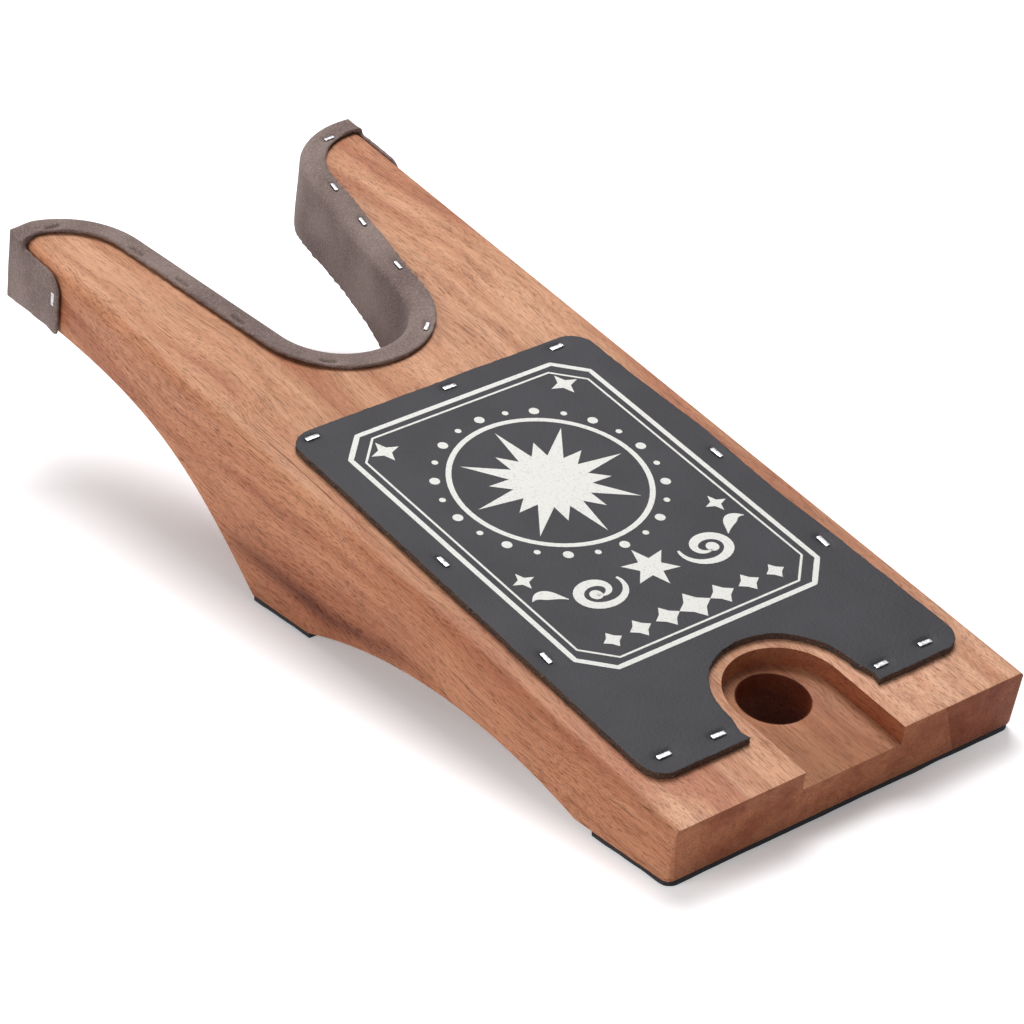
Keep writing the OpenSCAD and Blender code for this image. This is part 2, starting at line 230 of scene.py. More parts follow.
class Recipe:
    """The node tree of a material or a world while it is being put together."""

    def __init__(self, owner: Any) -> None:
        """Starts an empty tree in a new material or world."""
        self.owner = owner
        owner.use_nodes = True
        self.tree = owner.node_tree
        self.tree.nodes.clear()

    def add(self, kind: str, links: dict[Any, Any] | None = None, out: Any = 0, **settings: Any) -> Any:
        """Adds one node.

        Args:
            kind: Blender's type name without the ShaderNode prefix.
            links: Input name or number to a value, a hex colour or another node's output.
            out: Name or number of the output that is returned.
            **settings: The node's own properties.

        Returns:
            The chosen output socket.
        """
        node = self.tree.nodes.new("ShaderNode" + kind)
        for key, value in settings.items():
            setattr(node, key, value)
        for key, value in (links or {}).items():
            if isinstance(value, bpy.types.NodeSocket):
                self.tree.links.new(value, node.inputs[key])
            else:
                node.inputs[key].default_value = linear(value) if isinstance(value, str) else value
        return node.outputs[out]

    def coords(self, kind: str = "Object") -> Any:
        """Adds texture coordinates."""
        return self.add("TexCoord", out=kind)

    def axis(self, vector: Any, name: str) -> Any:
        """Takes X, Y or Z out of a vector."""
        return self.add("SeparateXYZ", {"Vector": vector}, out=name)

    def scaled(self, vector: Any, per_mm: float | Sequence[float]) -> Any:
        """Stretches coordinates so that each axis repeats at that many units per millimetre."""
        each = (per_mm,) * 3 if isinstance(per_mm, float) else per_mm
        return self.add("VectorMath", {0: vector, 1: tuple(value / MM for value in each)}, operation="MULTIPLY")

    def noise(
        self, vector: Any, per_mm: float | Sequence[float], detail: float, roughness: float = 0.5, out: int = 0
    ) -> Any:
        """Adds noise with that many features per millimetre along each axis."""
        links = {"Vector": self.scaled(vector, per_mm), "Scale": 1.0, "Detail": detail, "Roughness": roughness}
        return self.add("TexNoise", links, out=out)

    def ramp(self, value: Any, stops: Stops) -> Any:
        """Adds a colour ramp; each stop is a place and a hex colour or a grey level."""
        node = self.tree.nodes.new("ShaderNodeValToRGB")
        self.tree.links.new(value, node.inputs[0])
        elements = node.color_ramp.elements
        while len(elements) < len(stops):
            elements.new(0.5)
        for element, (place, colour) in zip(elements, stops):
            element.position = place
            element.color = linear(colour) if isinstance(colour, str) else (colour,) * 3 + (1.0,)
        return node.outputs[0]

    def math(self, operation: str, a: Any, b: Any = 0.0, c: Any = 0.0) -> Any:
        """Adds an arithmetic step, which isn't clamped."""
        return self.add("Math", {0: a, 1: b, 2: c}, operation=operation)

    def times(self, a: Any, b: Any) -> Any:
        """Product of two values."""
        return self.math("MULTIPLY", a, b)

    def between(self, value: Any, start: Point, end: Point) -> Any:
        """Maps a value, clamped: at start's and end's first number it gives their second."""
        links = {"Value": value, "From Min": start[0], "From Max": end[0], "To Min": start[1], "To Max": end[1]}
        return self.add("MapRange", links)

    def tent(self, value: Any, centre: Any, half: float) -> Any:
        """1 where a value meets a centre, falling to 0 at this many millimetres from it."""
        apart = self.math("ABSOLUTE", self.math("SUBTRACT", value, centre))
        return self.math("MAXIMUM", self.math("MULTIPLY_ADD", apart, -1 / (half * MM), 1.0), 0.0)

    def mix(self, kind: str, amount: Any, a: Any, b: Any) -> Any:
        """Mixes two colours with a blend type."""
        settings = {"data_type": "RGBA", "blend_type": kind, "clamp_factor": True}
        return self.add("Mix", {0: amount, 6: a, 7: b}, out=2, **settings)

    def bump(self, height: Any, strength: float, depth: float) -> Any:
        """Adds relief of a depth in millimetres."""
        return self.add("Bump", {"Height": height, "Strength": strength, "Distance": depth * MM})

    def surface(self, shader: Any, output: str = "OutputMaterial") -> Any:
        """Links the surface shader to the output, and returns the material or world."""
        node = self.tree.nodes.new("ShaderNode" + output)
        self.tree.links.new(shader, node.inputs["Surface"])
        return self.owner

    def finish(self, **inputs: Any) -> bpy.types.Material:
        """Adds the principled shader and the output, and returns the material."""
        names = {key.replace("_", " "): value for key, value in inputs.items()}
        return self.surface(self.add("BsdfPrincipled", names))


@dataclass(frozen=True)
class OiledHardwood:
    """Planed, oiled hardwood of reddish tan: long figure, short open pores, matt sheen."""

    pale: str = "#DCA785"
    tan: str = "#CC9472"
    red: str = "#BB7E60"
    deep: str = "#A3694E"
    pore: str = "#6A3A26"
    roughness: float = 0.55
    # height of the top's plane and place of the bore once the block is turned level
    top_level: float = 44.92
    bore_along: float = -115.27
    bore_radius: float = 10.35
    # the walls within this distance of the middle belong to the recess, whose side walls get a painted shade
    recess_reach: float = 30.0
    # the top pales between these places along the block
    fore_from: float = -70.0
    fore_to: float = -125.0
    # fine line beside the plate, and where the end grain's tones change
    line_across: float = -55.0
    pale_across: float = -51.5
    slant_across: float = 47.5

    def facing(self, r: Recipe, normal: Any, axis: Place, power: float) -> Any:
        """How squarely a face looks along an axis, 0 to 1."""
        cosine = r.add("VectorMath", {0: normal, 1: axis}, out="Value", operation="DOT_PRODUCT")
        return r.math("POWER", r.math("ABSOLUTE", cosine), power)

    def in_bore(self, r: Recipe, board: Any) -> Any:
        """1 on the drilled wall."""
        apart = r.add("VectorMath", {0: board, 1: (0.0, self.bore_along * MM, 0.0)}, operation="SUBTRACT")
        flat = r.add("VectorMath", {0: apart, 1: (1.0, 1.0, 0.0)}, operation="MULTIPLY")
        reach = r.add("VectorMath", {0: flat}, out="Value", operation="LENGTH")
        return r.math("LESS_THAN", reach, self.bore_radius * MM)

    def figure(self, r: Recipe, board: Any) -> tuple[Any, Any, Any, Any]:
        """Colour of the figure along the block, and its clouds, hair lines and pores."""
        # slow sideways drift of the grain, about 3 mm over 100 mm
        drift = r.noise(board, (0.02, 0.009, 0.02), 2.0, out=1)
        bent = r.add("VectorMath", {0: drift, 1: (0.02, 0.0, 0.02)}, operation="MULTIPLY")
        grain = r.add("VectorMath", {0: board, 1: bent}, operation="ADD")
        # bands 10 mm wide and 200 mm long
        broad = r.noise(grain, (0.1, 0.005, 0.1), 3.0, 0.6)
        colour = r.ramp(broad, ((0.34, self.red), (0.45, self.tan), (0.56, self.pale), (0.70, self.tan)))
        # streaks 2.5 mm wide and 80 mm long
        streak = r.noise(grain, (0.4, 0.012, 0.4), 4.0, 0.65)
        colour = r.mix("MIX", r.ramp(streak, ((0.50, 0.0), (0.70, 0.42))), colour, self.deep)
        # clouds 4 mm wide and 12 mm long
        cloud = r.noise(grain, (0.26, 0.07, 0.26), 3.0, 0.6)
        colour = r.mix("MULTIPLY", 0.4, colour, r.ramp(cloud, ((0.32, 0.76), (0.55, 1.0))))
        # hair lines 0.3 mm wide and 20 mm long
        lines = r.noise(grain, (3.0, 0.05, 3.0), 2.0, 0.7)
        colour = r.mix("MULTIPLY", 0.9, colour, r.ramp(lines, ((0.32, 0.45), (0.49, 1.0), (0.72, 0.85))))
        # pores 0.3 mm wide and 3 mm long
        pore = r.ramp(r.noise(grain, (3.1, 0.32, 3.1), 1.5, 0.6), ((0.55, 0.0), (0.64, 1.0)))
        return colour, cloud, lines, pore

    def streak(self, r: Recipe, y: Any, z: Any, half: float, reach: float) -> Any:
        """Share of the dark band that dips over the foot, by its half width and its reach along the block."""
        dip = r.math("MULTIPLY_ADD", r.math("ABSOLUTE", r.math("ADD", y, 0.008)), 0.09, 0.0116)
        return r.times(r.tent(z, dip, half), r.math("POWER", r.tent(y, 0.0, reach), 0.5))

    def ringed(self, r: Recipe, colour: Any, end_on: Any, x: Any, height: Any) -> Any:
        """The colour with the growth rings of the front end, which cross it at two slants."""
        slant = r.math("MULTIPLY_ADD", height, -0.35, self.slant_across * MM)
        right = r.math("GREATER_THAN", x, slant)
        colour = r.mix("MULTIPLY", r.times(right, end_on), colour, "#D9C3BA")
        left = r.math("LESS_THAN", x, self.pale_across * MM)
        return r.mix("SCREEN", r.times(r.times(left, end_on), 0.3), colour, "#8A5A42")

    def make(self) -> bpy.types.Material:
        """Builds the material; the grain runs along the sloping top."""
        r = Recipe(bpy.data.materials.new("oiled_hardwood"))
        place, normal = r.coords(), r.coords("Normal")
        board = r.add("Mapping", {"Vector": place, "Rotation": (-TOP.slope, 0.0, 0.0)}, vector_type="POINT")
        colour, cloud, lines, pore = self.figure(r, board)
        sine, cosine = math.sin(TOP.slope), math.cos(TOP.slope)
        up = self.facing(r, normal, (0.0, -sine, cosine), 8.0)
        end_on = self.facing(r, normal, (0.0, cosine, sine), 2.0)
        side_on = self.facing(r, normal, (1.0, 0.0, 0.0), 1.5)
        x, along, height = (r.axis(board, name) for name in "XYZ")
        y, z = (r.axis(place, name) for name in "YZ")

        # painted shade on the recess floor: up-facing surfaces 3 mm and more under the top are darkened
        under = r.math("LESS_THAN", height, (self.top_level - 3.0) * MM)
        colour = r.mix("MULTIPLY", r.times(under, up), colour, "#DCC8BA")
        pore_share = r.math("MULTIPLY_ADD", side_on, 0.12, 0.34)
        colour = r.mix("MIX", r.times(pore, pore_share), colour, self.pore)
        # the top is lighter towards its low front end
        fore = r.between(along, (self.fore_from * MM, 0.0), (self.fore_to * MM, 1.0))
        fore = r.times(r.times(fore, up), r.math("SUBTRACT", 1.0, under))
        inside = r.math("LESS_THAN", r.math("ABSOLUTE", x), self.recess_reach * MM)
        # the side darkens in a band that dips over the foot, within a wider, fainter dark band
        dark, wide = self.streak(r, y, z, 4.5, 42.0), self.streak(r, y, z, 18.0, 55.0)
        for share, tone in (
            (end_on, "#E8C2AC"),
            (side_on, "#F6E2D6"),
            (fore, (1.2, 1.22, 1.29, 1.0)),
            # painted shade on the side walls of the recess
            (r.times(inside, side_on), "#C6A492"),
            # painted shade on the wall of the hanging hole
            (self.in_bore(r, board), "#B49A8C"),
            (r.times(r.times(dark, side_on), 0.9), "#7A5647"),
            (r.times(wide, side_on), "#C8A898"),
        ):
            colour = r.mix("MULTIPLY", share, colour, tone)
        line = r.times(r.tent(x, self.line_across * MM, 0.45), r.math("POWER", r.tent(y, 0.0, 48.0), 0.3))
        line = r.times(line, r.ramp(cloud, ((0.35, 0.2), (0.55, 0.9))))
        colour = r.mix("MIX", r.times(line, r.math("SUBTRACT", 1.0, side_on)), colour, self.pore)
        colour = self.ringed(r, colour, end_on, x, height)
        relief = r.bump(r.math("SUBTRACT", lines, pore), 0.2, 0.3)
        rough = r.math("MULTIPLY_ADD", pore, 0.3, self.roughness)
        return r.finish(Base_Color=colour, Roughness=rough, Normal=relief, Specular_IOR_Level=0.22)


@dataclass(frozen=True)
class PlateLeather:
    """Dyed, pressed cowhide with a closed matt grain: near black, faintly mottled."""

    dye: str = "#2E2C31"
    worn: str = "#38363B"
    grain_size: float = 0.9

    def make(self) -> bpy.types.Material:
        """Builds the material of the plate's face."""
        r = Recipe(bpy.data.materials.new("plate_leather"))
        place = r.coords()
        # mottling of 20 mm under a pressed grain of 0.9 mm and pores of 0.5 mm
        colour = r.ramp(r.noise(place, 0.05, 4.0), ((0.35, self.dye), (0.72, self.worn)))
        pressed = {"Vector": r.scaled(place, 1 / self.grain_size), "Scale": 1.0}
        cells = r.add("TexVoronoi", pressed, out="Distance")
        fine = r.noise(place, 2.2, 3.0)
        colour = r.mix("MULTIPLY", 0.35, colour, r.ramp(fine, ((0.3, 0.82), (0.7, 1.0))))
        relief = r.bump(r.math("ADD", cells, fine), 0.25, 0.25)
        rough = r.math("MULTIPLY_ADD", fine, 0.16, 0.46)
        return r.finish(Base_Color=colour, Roughness=rough, Normal=relief, Specular_IOR_Level=0.2)


@dataclass(frozen=True)
class NappedSuede:
    """Split hide with a raised nap: warm grey, brushed patches, soft rim sheen."""

    light: str = "#96837D"
    body: str = "#87746E"
    shade: str = "#776460"
    fleck: str = "#B5A59F"

    def make(self) -> bpy.types.Material:
        """Builds the suede."""
        r = Recipe(bpy.data.materials.new("napped_suede"))
        place = r.coords()
        # brushed patches of 20 mm, nap tufts of 0.6 mm
        brushed = r.noise(place, 0.05, 3.0)
        colour = r.ramp(brushed, ((0.34, self.shade), (0.5, self.body), (0.66, self.light)))
        nap = r.noise(place, 1.6, 4.0, 0.8)
        colour = r.mix("MULTIPLY", 0.6, colour, r.ramp(nap, ((0.34, 0.5), (0.54, 1.0))))
        colour = r.mix("MIX", r.ramp(nap, ((0.54, 0.0), (0.68, 0.6))), colour, self.fleck)
        sheen = {"Sheen_Weight": 0.15, "Sheen_Roughness": 0.5, "Specular_IOR_Level": 0.2}
        return r.finish(Base_Color=colour, Roughness=0.95, Normal=r.bump(nap, 0.6, 0.5), **sheen)


@dataclass(frozen=True)
class GrainedStuff:
    """A plain material whose colour and relief follow one even grain.

    Attributes:
        name: Name of the material.
        per_mm: Features of the grain per millimetre.
        detail: Finer layers of the grain.
        coarse: How strong the finer layers are.
        tones: Stops of the colour over the grain.
        relief: Strength of the relief, and its depth in millimetres.
        rough: Roughness of the surface, and how much the grain adds to it.
        metallic: 1 for metal.
    """

    name: str
    per_mm: float
    detail: float
    coarse: float
    tones: Stops
    relief: Point
    rough: Point
    metallic: float = 0.0

    def make(self) -> bpy.types.Material:
        """Builds the material."""
        r = Recipe(bpy.data.materials.new(self.name))
        grain = r.noise(r.coords(), self.per_mm, self.detail, self.coarse)
        base, gain = self.rough
        rough = r.math("MULTIPLY_ADD", grain, gain, base) if gain else base
        colour, relief = r.ramp(grain, self.tones), r.bump(grain, *self.relief)
        return r.finish(Base_Color=colour, Metallic=self.metallic, Roughness=rough, Normal=relief)


# knife-cut flesh edge of the hide: undyed brown fibres of 0.5 mm with pale flecks
CUT_EDGE = GrainedStuff(
    "cut_leather_edge", 1.9, 4.0, 0.8,
    ((0.36, "#241A15"), (0.50, "#5C4537"), (0.60, "#5C4537"), (0.68, "#C4AC96")), (0.9, 0.6), (0.92, 0.0),
)
# off-white ink, opaque and matt, thinner in spots of 0.7 mm
PRINT_INK = GrainedStuff("screen_print", 1.4, 4.0, 0.5, ((0.28, "#CAC9C5"), (0.46, "#E4E3DE")), (0.15, 0.2), (0.6, 0.0))
# galvanised flat wire with drawing marks of 0.8 mm
WIRE = GrainedStuff(
    "bright_wire", 1.2, 4.0, 0.7, ((0.36, "#77787B"), (0.52, "#CBCBCE")), (0.1, 0.1), (0.2, 0.25), metallic=1.0
)
# cut sheet rubber: black and matt, with dust in patches of 1.7 mm
RUBBER = GrainedStuff("sheet_rubber", 0.6, 5.0, 0.7, ((0.45, "#1E1C1F"), (0.75, "#38353A")), (0.4, 0.4), (0.85, 0.0))


@dataclass(frozen=True)
class StudioFloor:
    """Pale seamless floor that renders white, keeps a soft shadow and has a painted contact shadow beside the block."""

    paint: str = "#EFEDEF"
    # glow within the painted contact shadow beside the block
    contact_shadow_glow: float = 0.2
    glow: float = 0.45

    def make(self) -> bpy.types.Material:
        """Builds the floor; the glow is seen by the camera and in reflections only."""
        r = Recipe(bpy.data.materials.new("studio_floor"))
        seen = (r.add("LightPath", out=ray) for ray in ("Is Camera Ray", "Is Glossy Ray"))
        either = r.math("MAXIMUM", *seen)
        # distance in metres, shorter along the block
        place = r.scaled(r.coords(), (0.001, 0.0004, 0.0))
        away = r.add("VectorMath", {0: place}, out="Value", operation="LENGTH")
        # the glow drops close to the block, a painted contact shadow, and turns the far floor plain white
        near = r.between(away, (0.055, self.contact_shadow_glow), (0.085, self.glow))
        strength = r.times(either, r.math("MAXIMUM", near, r.between(away, (0.4, 0.0), (1.5, 1.0))))
        paint = r.add("BsdfDiffuse", {"Color": self.paint})
        glow = r.add("Emission", {"Color": "#FFFFFF", "Strength": strength})
        return r.surface(r.add("AddShader", {0: paint, 1: glow}))


# ------------------------------------------------------------------------- mesh tools


def link_new(name: str, data: Any) -> bpy.types.Object:
    """Makes an object of some data and links it to the scene."""
    obj = bpy.data.objects.new(name, data)
    bpy.context.scene.collection.objects.link(obj)
    return obj


def new_object(name: str, bm: bmesh.types.BMesh) -> bpy.types.Object:
    """Turns a bmesh into an object at the origin and frees the bmesh."""
    mesh = bpy.data.meshes.new(name)
    bm.to_mesh(mesh)
    bm.free()
    return link_new(name, mesh)


def welded_copy(obj: bpy.types.Object) -> bmesh.types.BMesh:
    """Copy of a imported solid's mesh, with the vertices of each corner merged."""
    bm = bmesh.new()
    bm.from_mesh(obj.data)
    bmesh.ops.remove_doubles(bm, verts=bm.verts, dist=WELD)
    return bm


def pull(bm: bmesh.types.BMesh, faces: Sequence[bmesh.types.BMFace], step: Sequence[float]) -> None:
    """Extrudes faces by a step in the mesh's units."""
    made = bmesh.ops.extrude_face_region(bm, geom=faces)
    moved = [g for g in made["geom"] if isinstance(g, bmesh.types.BMVert)]
    bmesh.ops.translate(bm, verts=moved, vec=step)


def slit(bm: bmesh.types.BMesh, point: Sequence[float], normal: Sequence[float]) -> None:
    """Cuts a whole mesh along a plane and keeps both sides."""
    everything = bm.verts[:] + bm.edges[:] + bm.faces[:]
    bmesh.ops.bisect_plane(bm, geom=everything, plane_co=point, plane_no=normal)


def bevel(bm: bmesh.types.BMesh, edges: Sequence[bmesh.types.BMEdge], size: float, segments: int, clamp: bool) -> None:
    """Rounds edges off by a size in the mesh's units."""
    bmesh.ops.bevel(
        bm, geom=edges, offset=size, offset_type="OFFSET", segments=segments, profile=0.5, affect="EDGES",
        material=-1, clamp_overlap=clamp,
    )


def extruded(outline: Iterable[Vector], step: Vector) -> bmesh.types.BMesh:
    """Prism of a flat outline.

    Args:
        outline: Corner points in metres.
        step: Extrusion vector in metres.

    Returns:
        A closed bmesh with outward normals.
    """
    bm = bmesh.new()
    face = bm.faces.new([bm.verts.new(p) for p in outline])
    pull(bm, [face], step)
    bmesh.ops.recalc_face_normals(bm, faces=bm.faces)
    return bm


def top_prism(outline: Sequence[Point], low: float, high: float) -> bmesh.types.BMesh:
    """Prism of a top-frame outline in millimetres between two heights."""
    flat = [Vector((x, y, low)) * MM for x, y in outline]
    bm = extruded(flat, Vector((0.0, 0.0, (high - low) * MM)))
    bm.transform(TOP.matrix)
    return bm


def settle(obj: bpy.types.Object) -> None:
    """Applies an object's modifiers to its mesh."""
    graph = bpy.context.evaluated_depsgraph_get()
    mesh = bpy.data.meshes.new_from_object(obj.evaluated_get(graph))
    old = obj.data
    obj.modifiers.clear()
    obj.data = mesh
    bpy.data.meshes.remove(old)


def cut(obj: bpy.types.Object, tool: bmesh.types.BMesh, operation: str = "DIFFERENCE") -> None:
    """Cuts an object with a closed tool shape."""
    cutter = new_object("cutter", tool)
    modifier = obj.modifiers.new("cut", "BOOLEAN")
    modifier.operation = operation
    modifier.solver = "EXACT"
    modifier.object = cutter
    settle(obj)
    mesh = cutter.data
    bpy.data.objects.remove(cutter)
    bpy.data.meshes.remove(mesh)


def soften(obj: bpy.types.Object, width: float, segments: int, angle: float = 35.0) -> None:
    """Bevels an object's sharp edges, by millimetres."""
    modifier = obj.modifiers.new("soften", "BEVEL")
    modifier.width = width * MM
    modifier.segments = segments
    modifier.limit_method = "ANGLE"
    modifier.angle_limit = math.radians(angle)
    modifier.use_clamp_overlap = True
    settle(obj)


def shade(obj: bpy.types.Object, angle: float) -> None:
    """Smooth shading that breaks at edges sharper than an angle in degrees."""
    obj.data.shade_smooth()
    obj.data.set_sharp_from_angle(angle=math.radians(angle))


def shift_vertices(obj: bpy.types.Object, move: Callable[[Vector], Vector]) -> None:
    """Moves each vertex by a function of its top-frame place in millimetres."""
    matrix, inverse = TOP.matrix, TOP.matrix.inverted()
    for vertex in obj.data.vertices:
        vertex.co = matrix @ (move((inverse @ vertex.co) / MM) * MM)
    obj.data.update()


def smoothstep(low: float, high: float, value: float) -> float:
    """Smooth 0 to 1 step between two values."""
    t = min(max((value - low) / (high - low), 0.0), 1.0)
    return t * t * (3 - 2 * t)


def wobble(x: float, y: float, size: float, seed: float) -> float:
    """Smooth noise from -1 to 1 with features of a size in millimetres."""
    return noise.noise(Vector((x / size, y / size, seed)))


def place_piece(obj: bpy.types.Object, slot: str, materials: Sequence[bpy.types.Material], *nodes: str) -> None:
    """Gives a finished piece its materials and body, and hides the nodes it stands for."""
    obj.data.materials.clear()
    for material in materials:
        obj.data.materials.append(material)
    if nodes:
        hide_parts(*nodes)
    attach(obj, BODY)
    LOG.info("%s: %d faces", obj.name, len(obj.data.polygons))


# ---------------------------------------------------------------------------- staples


@dataclass(frozen=True)
class Dent:
    """How a staple presses what it holds: a flat core in a wide bowl, in millimetres."""

    core: Place
    bowl: Place
    # a staple's dent has died out at this distance
    reach: float = 14.0


@dataclass(frozen=True)
class StaplePlace:
    """Middle of a crown in the top frame and its turn in degrees about z."""

    x: float
    y: float
    turn: float

    def local(self, x: float, y: float) -> Point:
        """A top-frame point as seen along and across the crown."""
        a = math.radians(self.turn)
        dx, dy = x - self.x, y - self.y
        return (dx * math.cos(a) + dy * math.sin(a), -dx * math.sin(a) + dy * math.cos(a))

    def pressed(self, x: float, y: float, dent: Dent) -> float:
        """Depth of the dent at a point; each of its parts is a depth, a half length and a half width."""
        if abs(x - self.x) + abs(y - self.y) > dent.reach:
            return 0.0
        u, v = self.local(x, y)
        deep, long, wide = dent.core
        core = deep * math.exp(-((abs(u) / long) ** 6) - (v / wide) ** 4)
        deep, long, wide = dent.bowl
        return core + deep * math.exp(-((u / long) ** 2) - (v / wide) ** 2)


class StapleRow(Enum):
    """The nodes that hold the staples of the top."""

    PLATE_UPPER = "plate_staples_upper"
    PLATE_LEFT = "plate_staples_left"
    PLATE_RIGHT = "plate_staples_right"
    PLATE_LOWER = "plate_staples_lower"
    LINER_LEFT = "liner_staples_left"
    LINER_RIGHT = "liner_staples_right"

    @property
    def in_plate(self) -> bool:
        """Whether the row holds the plate and not the liner."""
        return "plate" in self.value


@dataclass
class StapleLayout:
    """Where every staple of the top goes, worked out as in the part's source."""

    rear_in: float = 3.0
    fold_in: float = 4.3
    bend_turn: float = 41.0
    wood: ForkShape = field(default_factory=ForkShape)

    def side_rows(self, rows: Sequence[Point], side: int) -> list[StaplePlace]:
        """Staples along one long edge of the plate, each with its share of the length and its inset."""
        narrowing = SIZES.plate_half_rear - SIZES.plate_half_front
        places = []
        for part, inset in rows:
            y = SIZES.plate_front + part * SIZES.plate_length
            half = SIZES.plate_half_front + narrowing * (y - SIZES.plate_front) / SIZES.plate_length
            places.append(StaplePlace(side * (half - inset), y, 90.0))
        return places

    def fold(self, side: int) -> list[StaplePlace]:
        """Staples of the fold on one prong: three on its wall, one at the bend, one at the end corner."""
        shape, (x0, y0) = self.wood, self.wood.centre
        reach = shape.bend + self.fold_in
        lean = 90 - side * math.degrees(shape.flare(side))
        fold_end = SIZES.top_length - SIZES.fold_width
        places = []
        for part in (0.12, 0.44, 0.7):
            y = y0 + part * (fold_end - y0)
            places.append(StaplePlace(x0 + side * shape.half(reach, y, side), y, lean))
        bend = math.radians(self.bend_turn)
        x, y = x0 + side * reach * math.sin(bend), y0 - reach * math.cos(bend)
        places.append(StaplePlace(x, y, side * self.bend_turn))
        cx, cy = shape.corner_centre(side)
        inner, end = shape.corner - self.fold_in, math.radians(23)
        places.append(StaplePlace(cx - side * inner * math.sin(end), cy + inner * math.cos(end), side * 4))
        return places

    def rows(self) -> dict[StapleRow, list[StaplePlace]]:
        """All rows of the top."""
        rear, front = SIZES.plate_rear - self.rear_in, SIZES.plate_front
        lower = ((-0.76, 6.6), (-0.475, 5.4), (0.45, 4.6), (0.72, 5.2))
        return {
            StapleRow.PLATE_UPPER: [StaplePlace(k * SIZES.plate_half_rear, rear, 0) for k in (-0.87, 0.05, 0.8)],
            StapleRow.PLATE_LEFT: self.side_rows(((0.32, 5.1), (0.6, 5.6)), -1),
            StapleRow.PLATE_RIGHT: self.side_rows(((0.32, 4.3), (0.6, 3.3)), 1),
            StapleRow.PLATE_LOWER: [StaplePlace(k * SIZES.half_width, front + dy, 0) for k, dy in lower],
            StapleRow.LINER_LEFT: self.fold(-1),
            StapleRow.LINER_RIGHT: self.fold(1),
        }


@dataclass
class Staples:
    """Bent flat-wire staples.

    Attributes:
        proud: How far a crown stands over its cover's surface.
        sunk: How far the nap closes over the crowns on the left prong.
        plate_level: Height of a crown's cover in the plate's dents.
        liner_level: The same in the fold.
        askew: Largest turn and tilt of a hand-driven staple, in degrees.
    """

    length: float = 4.4
    width: float = 1.45
    thick: float = 0.75
    leg: float = 6.8
    edge_round: float = 0.17
    proud: float = 0.3
    sunk: float = 1.15
    plate_level: float = 1.6
    liner_level: float = 1.0
    askew: float = 5.0
    layout: StapleLayout = field(default_factory=StapleLayout)

    def one(self) -> bmesh.types.BMesh:
        """One staple in metres, crown along x with its cover's surface at z 0."""
        bm = bmesh.new()
        bmesh.ops.create_cube(bm, size=1.0)
        bmesh.ops.scale(bm, vec=(self.length, self.width, self.thick), verts=bm.verts)
        bmesh.ops.translate(bm, vec=(0, 0, self.proud - self.thick / 2), verts=bm.verts)
        for side in (-1, 1):
            inner = side * (self.length / 2 - self.thick)
            slit(bm, (inner, 0, 0), (1, 0, 0))
            feet = [f for f in bm.faces if f.normal.z < -0.9 and side * f.calc_center_median().x > abs(inner)]
            pull(bm, feet, (0, 0, -self.leg))
            bmesh.ops.delete(bm, geom=feet, context="FACES_ONLY")
        bmesh.ops.recalc_face_normals(bm, faces=bm.faces)
        sharp = [e for e in bm.edges if len(e.link_faces) == 2 and e.calc_face_angle(0) > 0.8]
        bevel(bm, sharp, self.edge_round, 2, True)
        bmesh.ops.scale(bm, vec=(MM,) * 3, verts=bm.verts)
        return bm

    def group(self, node: str, matrices: Sequence[Matrix], wire: bpy.types.Material) -> None:
        """Makes one node's staples as one piece."""
        whole = bmesh.new()
        pattern = self.one()
        mesh = bpy.data.meshes.new("staple_pattern")
        pattern.to_mesh(mesh)
        pattern.free()
        for matrix in matrices:
            before = len(whole.verts)
            whole.from_mesh(mesh)
            whole.verts.ensure_lookup_table()
            whole.verts.index_update()
            bmesh.ops.transform(whole, matrix=matrix, verts=whole.verts[before:])
        bpy.data.meshes.remove(mesh)
        obj = new_object(node + "_wire", whole)
        shade(obj, 40)
        place_piece(obj, "staple_wire", [wire], node)

    def build(self, wire: bpy.types.Material) -> None:
        """Makes every staple."""
        for row, places in self.layout.rows().items():
            height = self.plate_level if row.in_plate else self.liner_level
            height -= self.sunk if row is StapleRow.LINER_LEFT else 0.0
            # the nap hides the ends of the crowns in the fold
            shown = Matrix.Diagonal((1.0, 1.0, 1.0, 1.0) if row.in_plate else (0.84, 0.8, 1.0, 1.0))
            matrices = []
            for p in places:
                skew = Matrix.Rotation(math.radians(self.askew * wobble(p.x, p.y, 3.1, 4.0)), 4, "Z")
                tilt = Matrix.Rotation(math.radians(self.askew * wobble(p.y, p.x, 3.7, 6.0)), 4, "Y")
                place = Matrix.Translation(Vector((p.x, p.y, height)) * MM)
                turn = Matrix.Rotation(math.radians(p.turn), 4, "Z")
                matrices.append(TOP.matrix @ place @ turn @ skew @ tilt @ shown)
            self.group(row.value, matrices, wire)
        along = SIZES.flap_front + SIZES.flap_staple_in
        flaps = []
        for side in (-1, 1):
            across = side * (SIZES.half_width + SIZES.liner_thickness)
            place = Matrix.Translation(Vector((across, along, -SIZES.flap_staple_drop)) * MM)
            flaps.append(TOP.matrix @ place @ Matrix.Rotation(side * math.pi / 2, 4, "Y"))
        self.group("flap_staples", flaps, wire)


# ------------------------------------------------------------------------- wood block


